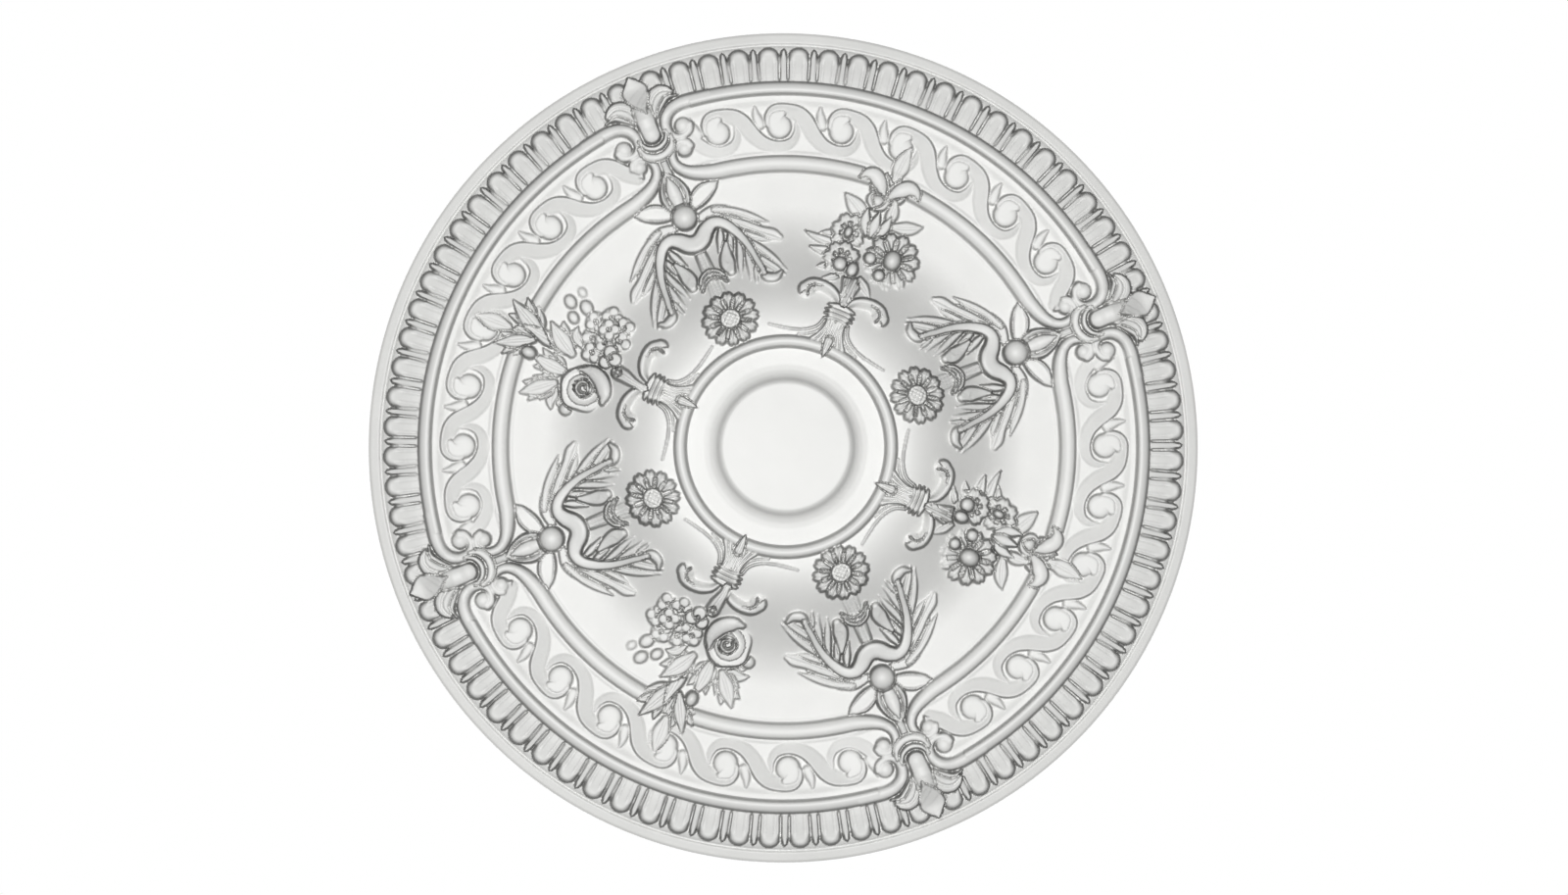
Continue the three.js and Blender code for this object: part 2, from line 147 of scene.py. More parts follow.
def band_relief(radius, turn):
    """Height of tongues and darts over the slope. The angle behind a quarter's axis, counted in
    tongues, gives the distance across to the nearest tongue and the nearest gap. A tongue is a
    strip that ends in a half circle, a dart one that ends in a half ellipse, and both rise
    through a quarter round along their outlines, out of gaps that are cut a little deeper."""
    off, gap = np.zeros(len(radius)), np.zeros(len(radius))
    for k, axis in enumerate(quarter_axes):
        behind = (math.radians(axis) - turn) % (2 * np.pi)
        span = math.radians((axis - quarter_axes[(k + 1) % len(quarter_axes)]) % 360)
        pitch = math.radians(tongue_pitches[k])
        phase = (behind - math.radians(tongue_starts[k])) / pitch
        mine = behind < span
        off[mine] = ((phase - np.round(phase)) * pitch * radius)[mine]
        gap[mine] = ((phase - np.floor(phase) - 0.5) * pitch * radius)[mine]
    along = np.clip((radius - tongue_foot) / (tongue_end_centre - tongue_foot), 0, 1)
    half = tongue_foot_half + (tongue_end_radius - tongue_foot_half) * along
    beyond = np.maximum(radius - tongue_end_centre, 0)
    inside = np.where(beyond > 0, tongue_end_radius - np.hypot(off, beyond), half - np.abs(off))
    knots = np.array(tongue_rises)
    groove = border_groove * np.exp(-((np.abs(off) - border_off) / border_groove_half) ** 2)
    groove *= 1 - soft_step((radius - border_end) / end_run)
    at_end = soft_step((radius - tongue_end_start) / end_run)
    wall = rounded_edge(inside, tongue_side_edge + (tongue_end_edge - tongue_side_edge) * at_end)
    rise = np.interp(radius, knots[:, 0], knots[:, 1])
    low = gap_depth * soft_step((radius - gap_start) / gap_start_run)
    low *= 1 - soft_step((radius - gap_end) / gap_end_run)
    tongue = wall * (rise - groove + low) - low
    tip = np.clip((radius - dart_foot) / (dart_tip - dart_foot), 0, 1)
    dart_width = dart_half * np.sqrt(1 - tip ** 2)
    ribs = rib_rise * (1 + np.cos(2 * np.pi * gap / rib_spacing))
    dart_wall = rounded_edge(dart_width - np.abs(gap), dart_edge)
    dart = dart_wall * (dart_share * rise + ribs + low) - low
    return np.maximum(np.where(inside > 0, tongue, -low), np.where(dart_width > np.abs(gap), dart, -low))


on_band = np.flatnonzero((R > band_limits[0]) & (R < band_limits[1]))
relief[on_band] = band_relief(R[on_band], T[on_band])

# The two rolls that frame the scroll band
# Plain rolls, steep outwards and easier inwards. At each cartouche they curl into the band and end
# in a round eye, set off from the roll by a hollow that fades out below it.

outer_roll = (353.4, 6.7, 9.0)
inner_roll = (278.8, 7.9, 9.0)
curl_reach, curl_window, eye_power = 46.0, (74, 262, 366), 2.4
outer_curl = (
    (66, 347.2, 6.7, 9), (54, 349.3, 6.7, 9), (40, 351.2, 6.7, 9), (29, 350, 6.4, 9.4),
    (20.6, 345, 6.2, 10), (16.2, 337.6, 5.8, 10), (15.8, 330, 5.4, 10), (18.6, 323.6, 4.8, 9.6),
    (25, 320.8, 3.6, 9),
)
outer_eye = (31.5, 329.4, 9.6, 10.4)
outer_lap = ((17.4, 327, 4.4, 9.6), (22, 321.6, 4.4, 9.8), (29, 320.6, 4.6, 9.8),
             (35.4, 323.6, 5.4, 10), (38, 328, 5, 10))
inner_curl = (
    (72, 269.3, 7.9, 9), (58, 272.7, 7.9, 9), (44, 275.6, 7.8, 9), (32, 279.4, 7.4, 9.4),
    (21.5, 284.2, 6.6, 9.6), (13.8, 290.4, 5.8, 10), (9.8, 297.4, 5.2, 10), (9.4, 304.6, 5, 10),
    (12, 311.4, 5, 10), (18, 315.4, 4.4, 9.6), (25, 316.4, 3.2, 9),
)
inner_eye = (24.2, 308.4, 9.0, 10.2)
inner_lap = ((11.4, 309, 4.4, 9.8), (15.6, 314.6, 4.4, 9.8), (22, 316, 4.6, 9.8),
             (28.4, 313.4, 5.2, 10), (30.6, 309, 5, 10))
samples_per_span = 10
# How every form laid on the face from here on meets it: the wall along its outline, the widest
# share of a narrow form that the wall takes, and the hollow cut round a form that lies on others;
# then how far tops lean back across the slope and along it, and the least height they keep.
wall_width, wall_share, groove_depth = 2.3, 0.6, 5.0
levelling, levelling_along, least_top = 0.6, 0.5, 2.0


def window(direction, across, low, high, out=0.0):
    """Points beside an axis of the face, as index, distance clockwise of it and distance out."""
    turn = math.radians(direction)
    s = X * math.sin(turn) - Y * math.cos(turn)
    a = X * math.cos(turn) + Y * math.sin(turn)
    index = np.flatnonzero((np.abs(s) < across) & (a > low) & (a < high))
    return index, s[index], a[index] - out


def spline(rows):
    """Catmull-Rom curve through all columns of the rows, in equal steps of its parameter."""
    rows = np.array(rows, float)
    p = np.concatenate([[2 * rows[0] - rows[1]], rows, [2 * rows[-1] - rows[-2]]])
    spans = len(rows) - 1
    at = np.linspace(0, spans, spans * samples_per_span + 1)
    k = np.minimum(at.astype(int), spans - 1)
    t = (at - k)[:, None]
    a, b, c, d = p[k], p[k + 1], p[k + 2], p[k + 3]
    return 0.5 * (2 * b + (c - a) * t + (2 * a - 5 * b + 4 * c - d) * t * t
                  + (3 * b - a - 3 * c + d) * t ** 3)


def rounded(u, off):
    """Half an ellipse across the strand. In this section and the next ones u runs from -1 at
    the right edge of the path to 1 at its left edge, and off is the distance in millimetres."""
    return np.sqrt(1 - u * u)


def full(u, off):
    """A flat back with round edges: as rounded, with the sixth power."""
    return np.sqrt(1 - u ** 6)


def rolled(u, off):
    """As rounded, but fuller and steeper on the outer side, by a higher power."""
    return np.where(u > 0, np.sqrt(1 - np.abs(u) ** 2.8), np.sqrt(1 - u * u))


def curled(u, off):
    """The same the other way round, for a path that runs towards the cartouche."""
    return rolled(-u, off)


def thick(u, off):
    """A round back with steep sides: as rounded, with a power of 3.5."""
    return np.sqrt(1 - np.abs(u) ** 3.5)


def leaning(u, off):
    """Highest at the left edge of the path, falling evenly to nothing at the right."""
    return 0.5 + 0.5 * u


def spread(u, off):
    """A steep edge on the left of the path, running out softly to the right."""
    return np.sqrt(1 - np.clip(u, 0, 1) ** 4) * soft_step((1 + u) / 1.3)


def veined(u, off):
    """Half an ellipse with a groove along its middle."""
    return np.sqrt(1 - u * u) - 0.5 * np.exp(-(off / 1.3) ** 2)


def dished(u, off):
    """A raised border round a sunken, slightly crowned middle."""
    return 0.2 + np.exp(-((np.abs(u) - 0.8) / 0.15) ** 2) + 0.35 * (1 - u * u)


def fluted(u, off):
    """Parallel reeds about 3 mm wide on a round back."""
    return np.sqrt(1 - u * u) + 0.22 * np.cos(2 * np.pi * off / 3.1)


def ground_below(index, s, ds, da):
    """Ground under the middle of a form, which lies ds across and da out from each point."""
    outwards = np.sqrt(np.maximum(R[index] ** 2 - s * s, 0))
    return np.interp(R[index] - (ds * s + da * outwards) / R[index], ground_radii, ground_heights)


def lay(index, top, inside, over, middle, level=levelling):
    """Raise the face to a form's top through a wall along its outline. The top leans back from
    the slope towards the level of the ground below its middle, but keeps its least height. A
    form laid over others is set off from them by a groove; otherwise it grows out of them."""
    top = np.maximum(top + level * (middle - ground[index]), np.minimum(top, least_top))
    now = relief[index]
    wall = 1 - (1 - np.clip(inside / wall_width, 0, 1)) ** 1.5
    floor = np.clip(now - groove_depth, 0, np.maximum(top, 0))
    relief[index] = floor + (top - floor) * wall if over else np.maximum(now, top * wall)


def strand(patch, rows, section=rounded, side=1, share=0.5, over=True, level=levelling):
    """Each point near the path takes the section at the path's nearest sample: rows hold
    distance across the axis, distance out, half width and rise. The share of the rise is a
    plain wall, the rest is the section, which stands on the face by itself if the share is 0."""
    index, s, a = patch
    path = spline(rows)
    ps, pa, half, rise = path[:, 0] * side, path[:, 1], np.maximum(path[:, 2], 0.05), path[:, 3]
    reach = half.max() + 1
    near = np.flatnonzero((s > ps.min() - reach) & (s < ps.max() + reach)
                          & (a > pa.min() - reach) & (a < pa.max() + reach))
    s, a = s[near], a[near]
    k = ((s[:, None] - ps) ** 2 + (a[:, None] - pa) ** 2).argmin(axis=1)
    ts, ta = np.gradient(ps), np.gradient(pa)
    length = np.hypot(ts, ta)
    ts, ta = ts / length, ta / length
    along = (s - ps[k]) * ts[k] + (a - pa[k]) * ta[k]
    off = (a - pa[k]) * ts[k] - (s - ps[k]) * ta[k]
    past_end = (k == 0) & (along < 0) | (k == len(ps) - 1) & (along > 0)
    away = np.where(past_end, np.hypot(along, off), np.abs(off))
    on = away < half[k]
    u = (away / half[k] * np.sign(off) * side)[on]
    top = rise[k][on] * (share + (1 - share) * section(u, off[on]))
    index, inside = index[near[on]], (half[k] - away)[on]
    middle = ground_below(index, s[on], (s - ps[k])[on], (a - pa[k])[on])
    middle += levelling_along * (np.mean(ground[index]) - middle)
    inside *= np.maximum(1, wall_width / (wall_share * half[k][on]))
    lay(index, top, inside if share else inside + wall_width, over, middle, level)


def dome(patch, s0, a0, reach, rise, stretch=1.0, turn=0.0, power=2.0, side=1, over=True):
    """Half an ellipsoid, or a fuller one with a higher power."""
    index, s, a = patch
    c, d = math.cos(math.radians(turn)), math.sin(math.radians(turn))
    ds, da = s * side - s0, a - a0
    u = np.hypot((ds * c + da * d) / reach, (da * c - ds * d) / (reach * stretch))
    on = u < 1
    middle = ground_below(index[on], s[on], (s - s0 * side)[on], da[on])
    lay(index[on], rise * np.sqrt(1 - u[on] ** power), (1 - u[on]) * reach, over, middle)


def axis_gap(turn, axes):
    """Smallest angle to any of the axes, in radians."""
    gaps = [np.abs((turn - math.radians(axis) + np.pi) % (2 * np.pi) - np.pi) for axis in axes]
    return np.min(gaps, axis=0)


for middle, half, rise in (outer_roll, inner_roll):
    away = (R - middle) / half
    on_roll = np.flatnonzero((np.abs(away) < 1) & (axis_gap(T, quarter_axes) * R > curl_reach))
    relief[on_roll] = np.maximum(relief[on_roll], rise * rolled(away[on_roll], 0))
for axis in quarter_axes:
    patch = window(axis, *curl_window)
    for side in (1, -1):
        for eye, curl, lap in ((outer_eye, outer_curl, outer_lap), (inner_eye, inner_curl, inner_lap)):
            dome(patch, *eye, power=eye_power, side=side)
            strand(patch, curl, curled, side, 0, over=False)
            strand(patch, lap, rounded, side, 0.4, over=False)

# The running scroll
# Seven waves in each quarter of the band, all rolling clockwise. Each starts in a flat disc, swells
# over its crest, runs down under the next disc and hooks up behind it. The crest and the upper side
# of the tail stand up sharply; the other side runs out into the band.

wave_radius, wave_window = 315.5, (92, 286, 345)
# The angles from an axis to the first wave and from the last one to the next axis, in degrees,
# the waves in a quarter, and the points of the path that the last wave keeps.
first_wave, last_gap, waves, last_wave_points = 10.53, 13.6, 7, 9
wave_path = (
    (-6.6, 319, 6, 7.4), (-5.6, 325.6, 6.4, 8.2), (-1, 330.8, 6.8, 8.8), (8, 331.2, 7.2, 9),
    (19, 328.6, 8, 9), (26.4, 323.2, 8.4, 8.8), (31.8, 316, 8.4, 8.4), (36.8, 308.6, 8.2, 8),
    (44, 301.6, 7.6, 7.4), (51.5, 297.6, 7, 7), (60.2, 295.6, 6.6, 6.6), (69.6, 296.6, 6, 6.2),
    (77.4, 301.2, 5, 5.6), (81, 309.5, 4, 4.8), (80.4, 318.6, 2, 3),
)
wave_disc = (2.4, 315.2, 12.9, 6.6)
wave_neck = ((1, 313, 8, 6.6), (-1.4, 318, 8.6, 6.8), (-0.6, 324, 8, 7), (5, 328, 5, 7))
wave_leaf = ((-16.5, 318, 5.6, 4.4), (-19.4, 327, 4.6, 4.2), (-20.4, 337, 0.6, 3))
first_tail = ((-30, 330, 7, 5.4), (-23, 315.6, 7.4, 5.4), (-15.4, 305.6, 7.2, 5.2),
              (-7, 299.4, 6.8, 5), (1.4, 296.8, 6.4, 5), (10, 297.6, 6, 4.8), (17.8, 302, 5, 4.6),
              (21.4, 310, 4, 4.2), (21, 319, 2, 3))


def bent_window(direction, across, low, high, radius):
    """As window, but the distance across runs along the circle of the given radius."""
    off = (math.radians(direction) - T + np.pi) % (2 * np.pi) - np.pi
    s = off * radius
    index = np.flatnonzero((np.abs(s) < across) & (R > low) & (R < high))
    return index, s[index], R[index]


for k, axis in enumerate(quarter_axes):
    following = quarter_axes[(k + 1) % len(quarter_axes)]
    pitch = ((axis - following) % 360 - first_wave - last_gap) / (waves - 1)
    for w in range(waves):
        patch = bent_window(axis - first_wave - pitch * w, *wave_window, wave_radius)
        if w == 0:
            strand(patch, first_tail, leaning, share=0.1, over=False)
        path = wave_path if w < waves - 1 else wave_path[:last_wave_points]
        strand(patch, path, leaning, share=0.1, over=False)
        strand(patch, wave_leaf, rounded, over=False)
        dome(patch, *wave_disc, power=5, over=False)
        strand(patch, wave_neck, full, share=0.2, over=False)

# The cartouches
# A palmette that bends down over the tongues, its neck between the curls, a collar of two
# crescents and a reeded stem.

cartouche_window = (46, 282, 400)
stem = ((0, 311, 5.4, 8.5), (0, 300, 4.6, 8), (0, 286, 5.4, 8))
collar = (((-17, 325.6, 1.6, 7), (-13.6, 316.4, 4.4, 8.5), (-6.4, 311.4, 5, 9),
           (0, 310.4, 5, 9), (6.4, 311.4, 5, 9), (13.6, 316.4, 4.4, 8.5), (17, 325.6, 1.6, 7)),
          ((-14, 331, 1.8, 9), (-9.6, 322.6, 3.4, 10), (0, 318.8, 4, 10.4), (9.6, 322.6, 3.4, 10),
           (14, 331, 1.8, 9)))
lower_lobe = ((12, 350, 4, 11), (20, 358, 5, 11.5), (28, 362, 4, 11.5), (38, 360, 1, 9))
side_lobe = ((6, 346, 5, 12), (9, 357, 7.4, 14), (15.4, 366, 8.8, 15), (23, 369.6, 8, 15.5),
             (30, 368, 6, 14.5), (34, 365.6, 3, 13))
palmette_tip = ((3, 353.6, 0.6, 21), (2.6, 361, 5.6, 19), (1.6, 370, 11.4, 15.4),
                (1, 379.5, 14.2, 13), (0.8, 387, 10, 14.4), (0.2, 395.6, 1.2, 17))
neck = ((0, 362, 9, 13), (-0.4, 350, 10.4, 13.4), (-0.6, 340, 10.4, 13.4), (-0.4, 333.4, 10.2, 13))

for axis in quarter_axes:
    patch = window(axis, *cartouche_window)
    strand(patch, stem, fluted)
    for crescent in collar:
        strand(patch, crescent, rounded)
    for side in (1, -1):
        strand(patch, lower_lobe, rounded, side)
        strand(patch, side_lobe, veined, side, 0.6)
    strand(patch, neck, rounded, share=0.4)
    strand(patch, palmette_tip, rounded, share=0.8)

# The trefoils
# Three dished petals round a ball, where each pendant of leaves starts: one petal crosses the
# inner roll, the others lie on the field.

pendant_axes, trefoil_window = (113.55, 22.25, -67.0, -158.5), (50, 228, 298)
side_petal = ((8, 252, 5, 8), (18, 257, 9, 9), (28, 261.6, 9.6, 9), (37, 264, 6.4, 8.5),
              (43.6, 266, 1.2, 7))
middle_petal = ((0, 252, 9, 10), (0, 262, 14.4, 11.5), (0, 271, 15.4, 13), (0, 281, 12, 13),
                (0, 288, 7.4, 12.5), (0, 294, 1.2, 11.5))
middle_bulge = ((0, 256, 6.4, 13), (0, 268, 8.4, 15), (0, 279, 6.8, 15), (0, 288, 2, 13))

for axis in pendant_axes:
    patch = window(axis, *trefoil_window)
    for side in (1, -1):
        strand(patch, side_petal, dished, side, 0.55)
    strand(patch, middle_petal, dished, share=0.6)
    strand(patch, middle_bulge, rounded, share=0.5)

# The acanthus and the ribbon
# Two leaves hang from the ball, each a smooth blade with long lobes outside a thick rib, a curled
# foot, and bulbs and small lobes inside it. The ribs of both leaves join in a wave under the ball.

acanthus_window = (88, 148, 262)
blade = ((14, 240, 5, 6), (28, 238, 9, 7), (42, 228, 11, 7), (54, 215, 10, 6.5), (63, 204, 6, 5.5))
outer_lobes = (
    ((30, 242, 3, 7), (46, 233.5, 4, 7), (60, 221.5, 4.4, 6.6), (74, 209.4, 0.8, 5)),
    ((36, 230, 4, 8), (50, 217, 5.4, 8), (63, 204.6, 5.6, 7.5), (73, 196, 6.6, 7), (78, 190.6, 4, 6)),
    ((42, 214, 3, 8), (52, 204, 4.4, 7.6), (61, 196.6, 3.6, 7), (68, 191.6, 1, 5.5)),
    ((45, 205, 3.6, 8.5), (55, 188, 5.4, 8), (63, 173, 5, 7.6), (70.6, 158, 1, 6)),
    ((49, 184, 3.6, 8.5), (56, 172, 4.8, 8), (62, 163, 4, 7.6), (67, 155, 1.4, 7)),
)
inner_lobes = (
    ((43, 176, 3, 8), (42, 167, 3.8, 7.5), (38.6, 158, 1, 6)),
    ((42, 192, 3, 8), (40, 178, 4.4, 7.8), (34.6, 163, 1, 6)),
    ((40, 206, 3, 8), (36, 192, 4.6, 8), (31, 180, 4, 8), (27.6, 169, 1, 6)),
    ((36, 216, 3.4, 8.5), (30.6, 204, 4.6, 8.5), (26, 194, 3.6, 8)),
    ((28, 222, 3, 8.5), (23.6, 212, 4.6, 8.5), (17, 200, 1.4, 6.5)),
)
bulb = ((27, 206, 3.4, 7), (23, 196, 6.8, 9), (20.4, 186, 8.2, 12), (20.4, 178, 5.4, 14))
rib = ((0, 217.2, 10, 19), (7, 219.4, 9.8, 19), (14.4, 226, 8.8, 18), (22.4, 229.6, 7.6, 17),
       (31, 226.6, 6.8, 16), (38.4, 217, 6.2, 15), (43.6, 205, 5.4, 14), (46.6, 192, 4.8, 13),
       (48, 178, 4.4, 12), (50, 166, 4.6, 11))
foot_curl = ((47, 165, 4, 10), (50.6, 158.4, 5.6, 11), (58, 155.6, 5.2, 10.5), (65, 158, 2.6, 9))

for axis in pendant_axes:
    patch = window(axis, *acanthus_window)
    for side in (1, -1):
        strand(patch, blade, full, side, 0.9)
        for lobe in outer_lobes:
            strand(patch, lobe, veined, side, 0.5)
        for lobe in inner_lobes:
            strand(patch, lobe, rounded, side, 0.5)
        strand(patch, bulb, rounded, side, 0.6, level=0.9)
        strand(patch, foot_curl, rounded, side, 0.3)

# The torches and their flowers
# A reeded torch with a three-banded tie stands on an open flower of twelve notched petals, which
# lies against the ring moulding. The rib of the leaves crosses it as one piece, with the ball on top.

torch_window, flower_window = (52, 150, 262), (40, 98, 176)
flower_axes = (113.4, 21.3, -66.2, -158.7)
flower_centres = (135.0, 137.0, 133.0, 138.0)
torch = ((0, 212, 6, 3.5), (0, 196, 7, 4.5), (0, 176, 8, 6.5), (0, 160, 9, 8))
ball = (0, 245.6, 13.6, 16)
torch_ties, tie_rise = (175.4, 179.2, 183.0), 4.4
flower_reach, flower_eye, flower_petals, flower_rise = 29.5, 11.4, 12, 11.0
flower_turn, flower_stretch = 15, 0.94


def bloom(patch, s0, a0, reach, petals, eye, rise, turn=0.0, stretch=1.0, boss=6.0, over=True,
          slim=0.88, vein=0.9):
    """Two layers of spoon petals with notched ends, from the angle to the nearest petal and the
    distance from the centre, with fine veins, round a stippled and rimmed boss."""
    index, s, a = patch
    ds, da = s - s0, (a - a0) / stretch
    far = np.hypot(ds, da)
    near = far < reach * 1.02
    index, ds, da, far = index[near], ds[near], da[near], far[near]
    middle = ground_below(index, s[near], ds, da * stretch)
    angle = np.arctan2(ds, da) - math.radians(turn)
    half = np.pi / petals
    for layer, shift in ((0, half), (1, 0.0)):
        off = ((angle - shift + half) % (2 * half) - half) * far
        size = reach * (0.93 + 0.07 * layer)
        widest = size * math.tan(half) * slim
        start = size - widest * 1.25
        wedge = np.maximum(far * math.tan(half) * (slim if layer else 0.7), 0.3)
        beyond = np.maximum(far - start, 0) / (widest * 1.25)
        notch = 1.6 * np.exp(-(off / 1.3) ** 2) * (far > start)
        inside = np.where(beyond > 0, (1 - np.hypot(off / widest, beyond)) * widest - notch,
                          np.minimum(wedge, widest) - np.abs(off))
        on = inside > 0
        share = np.clip(far[on] / size, 0, 1)
        sweep = 0.62 + 0.38 * np.sin(np.pi * share ** 1.3)
        crown = 0.22 * np.clip(inside[on] / widest, 0, 1)
        veins = vein * np.cos(2 * np.pi * off[on] / 3.2)
        top = rise * (0.6 + 0.4 * layer) * (sweep + crown) + veins
        lay(index[on], top, inside[on], over, middle[on])
    u = far / eye
    on = u < 1
    stipple = 1.3 * np.sin(ds[on] * 1.35 + 1) * np.sin(da[on] * 1.45 + 0.4) * (1 - u[on] ** 4)
    rim = 1.4 * np.exp(-((u[on] - 0.62) / 0.1) ** 2) + 3.6 * np.exp(-((u[on] - 1) / 0.12) ** 2)
    top = 0.75 * rise + boss * np.sqrt(1 - u[on] ** 3) - rim + stipple
    lay(index[on], top, (1 - u[on]) * eye, True, middle[on])


for axis, flower_axis, centre in zip(pendant_axes, flower_axes, flower_centres):
    patch = window(axis, *torch_window)
    strand(patch, torch, fluted, share=0.2, over=False)
    strand(patch, [(-s, *rest) for s, *rest in rib[:0:-1]] + list(rib), thick, share=0.25, level=0)
    dome(patch, *ball)
    for low in torch_ties:
        arch = ((-13, low - 5, 1.8, 10), (-8.4, low + 1, 2.2, 11.4), (0, low + tie_rise, 2.4, 12),
                (8.4, low + 1, 2.2, 11.4), (13, low - 5, 1.8, 10))
        strand(patch, arch, rounded)
    patch = window(flower_axis, *flower_window)
    bloom(patch, 0, centre, flower_reach, flower_petals, flower_eye, flower_rise, flower_turn,
          flower_stretch)

# The ring moulding
# A half-round ring on the edge of the platform. It is laid after the flowers, which stop against
# it.

ring_middle, ring_half, ring_rise = 102.3, 5.9, 9.6
away = (R - ring_middle) / ring_half
on_ring = np.flatnonzero(np.abs(away) < 1)
relief[on_ring] = ring_rise * np.sqrt(1 - away[on_ring] ** 2)

# The feet of the bouquets
# A binder over the ring, a fan of reeds, a banded tie and two scrolls. Thin double tendrils run
# from each foot to the flowers on both sides.

foot_axes, foot_window = (67.9, -22.1, 156.2, 245.7), (66, 90, 172)
tendrils = (
    ((12, 131, 1.5, 3.4), (15.5, 121, 1.5, 3.4), (23, 114, 1.5, 3.2), (33, 109.4, 1.4, 3),
     (46, 106.4, 1.3, 2.6), (60, 104, 1.1, 2)),
    ((9.6, 126, 1.4, 3), (13, 117, 1.4, 3), (20, 110.8, 1.4, 3), (30, 106, 1.2, 2.4)),
)
foot_scroll = ((4, 147.4, 3, 8), (9.6, 154, 5.2, 10), (18, 157.8, 6.4, 11.5), (27, 158.8, 6.6, 12.5),
               (34.6, 156, 7.8, 13), (38.6, 149.8, 9, 13))
scroll_crease = ((26, 159, 1, 14), (33, 157, 1.5, 15.5), (37.4, 151.6, 1.6, 15.5), (35.6, 145, 1, 14))
fan_reed = ((16, 106.5, 3, 6), (12, 113, 2.6, 7.5), (8.6, 122, 2.2, 8), (8, 132, 2, 8))
fan_shares = (-1.0, -0.66, 0.66, 1.0, -0.33, 0.33, 0.0)
tie_bands = ((131.5, 12, 11), (135.8, 13.2, 12.4), (140.2, 13.6, 13), (145, 12.8, 12.6))
tie_body = ((0, 130.5, 1, 8), (0, 133, 11, 9.6), (0, 140, 12, 9.6), (0, 146, 10, 9.6), (0, 148.5, 1, 9))
binder = ((0, 94.5, 0.8, 10), (0, 99, 3.2, 11.5), (0, 104, 4.6, 12), (0, 110, 5.6, 10))


def fanned(rows, share):
    """The rows of a path with their distances across scaled by the share."""
    return [(share * s, *rest) for s, *rest in rows]


def tie_band(low, half, rise):
    """An arch over the tie, from a thin low end on each side to its highest point in the middle."""
    return ((-half, low - 1, 1.8, rise - 3), (-half * 0.5, low + 0.6, 2.4, rise),
            (0, low + 1, 2.5, rise + 0.6), (half * 0.5, low + 0.6, 2.4, rise),
            (half, low - 1, 1.8, rise - 3))


for axis in foot_axes:
    patch = window(axis, *foot_window)
    for side in (1, -1):
        for tendril in tendrils:
            strand(patch, tendril, rounded, side, over=False)
        strand(patch, foot_scroll, spread, side, 0.3)
        strand(patch, scroll_crease, rounded, side, 0.8)
    for share in fan_shares:
        strand(patch, fanned(fan_reed, share), rounded, share=0.3, over=False)
    strand(patch, binder, veined)
    strand(patch, tie_body, full)
    for band in tie_bands:
        strand(patch, tie_band(*band), rounded, share=0.3, over=False)

# The daisy bouquets
# Three daisies of different size, berries, a rosebud and pointed leaves on a bundle of stems. A
# pair of leaves wraps over the inner roll and one more lies in the scroll band.

daisy_axes, daisy_window = (67.9, -23.0), (70, 144, 335)
stalk = ((1.5, 149, 2.2, 8), (4, 160, 3.2, 9), (8, 176, 3.6, 9.5))
stalk_shares = (-1.0, 1.0, -0.35, 0.3)
# Each leaf is its root, middle and tip, as distances across and out, then half width and rise.
first_leaves = (
    ((-14, 178), (-20, 171), (-29, 167), 4.8, 8), ((6, 180), (14, 173), (22, 165), 4.8, 8),
    ((2, 286), (3, 302), (5, 320), 9, 6.5),
)
roll_leaf, roll_leaf_shares = ((0.35, 258), (0.9, 272), (1.3, 289), 6.5, 11), (-15, 15, -6, 6)
roll_wrap = ((3, 266, 4, 9), (10, 275, 8, 12), (18, 281, 8.6, 12), (26, 279.6, 6, 11), (31, 274, 1.6, 9))
field_leaves = (
    ((-6, 236), (-24, 246), (-39, 254.6), 9.5, 7.5), ((16, 240), (33, 245), (45, 252), 7.6, 7),
    ((10, 240), (12, 254), (9, 267), 7, 8.5), ((-18, 206), (-42, 203), (-62, 205), 5.6, 7.5),
    ((-18, 214), (-34, 213), (-47, 209), 5, 8), ((-18, 196), (-36, 193), (-52, 192), 6.4, 8.5),
    ((-14, 188), (-27, 181), (-38, 176), 6, 8.5),
)
rosebud = (-6, 258, 8.2, 10.5, 0.95)
rosebud_leaves = (((-7, 250), (-14.6, 258), (-12, 267), 3.6, 9),
                  ((-5, 250), (2.6, 257), (0.6, 267), 3.6, 9))
# Each daisy is its middle, reach, petals, eye, rise, turn in degrees, stretch outwards and boss.
left_daisy = (-21, 220, 19.5, 7, 5.6, 8, 12, 1.08, 5)
lower_daisy = (-18, 192, 20, 7, 6, 8, 0, 1.0, 3)
large_daisy = (29, 208, 29, 11, 9, 10.5, 8, 1.06, 4)
side_petal_slim, large_petal_slim, side_vein, large_vein = 0.84, 0.8, 0.35, 0.4
standing_petal, standing_petal_shares = ((0.35, 224), (0.8, 237), (0.9, 250), 6.4, 13), (-13, 13, 0)
# Each boss or berry is its middle, reach, rise and stretch outwards.
daisy_bosses = ((29, 209, 10.2, 22, 1.15), (-21.5, 219, 5.4, 16, 1.4))
berries = ((8, 203, 7.4, 15), (22, 190, 7, 15), (-17.5, 186, 8.4, 17.5), (-4.5, 185, 7, 17.5, 1.3))
berry_power = 2.6


def leaf(patch, root, middle, tip, width, rise, section=veined, share=0.55):
    """A pointed leaf on a parabola through root, middle and tip, widest before its middle."""
    root, middle, tip = (np.array(point, float) for point in (root, middle, tip))
    t = np.linspace(0, 1, 6)[:, None]
    curve = root * (1 - t) * (1 - 2 * t) + middle * 4 * t * (1 - t) + tip * t * (2 * t - 1)
    half = width * np.sin(np.pi * np.clip(t, 0.08, 0.985) ** 0.75) ** 0.8
    height = rise * (1 - 0.25 * t)
    strand(patch, np.hstack([curve, half, height]), section, 1, share)


def leaf_fan(patch, shape, shares, section):
    """Copies of one leaf, each with its distances across scaled by a share."""
    *points, width, rise = shape
    for share in shares:
        leaf(patch, *fanned(points, share), width, rise, section)


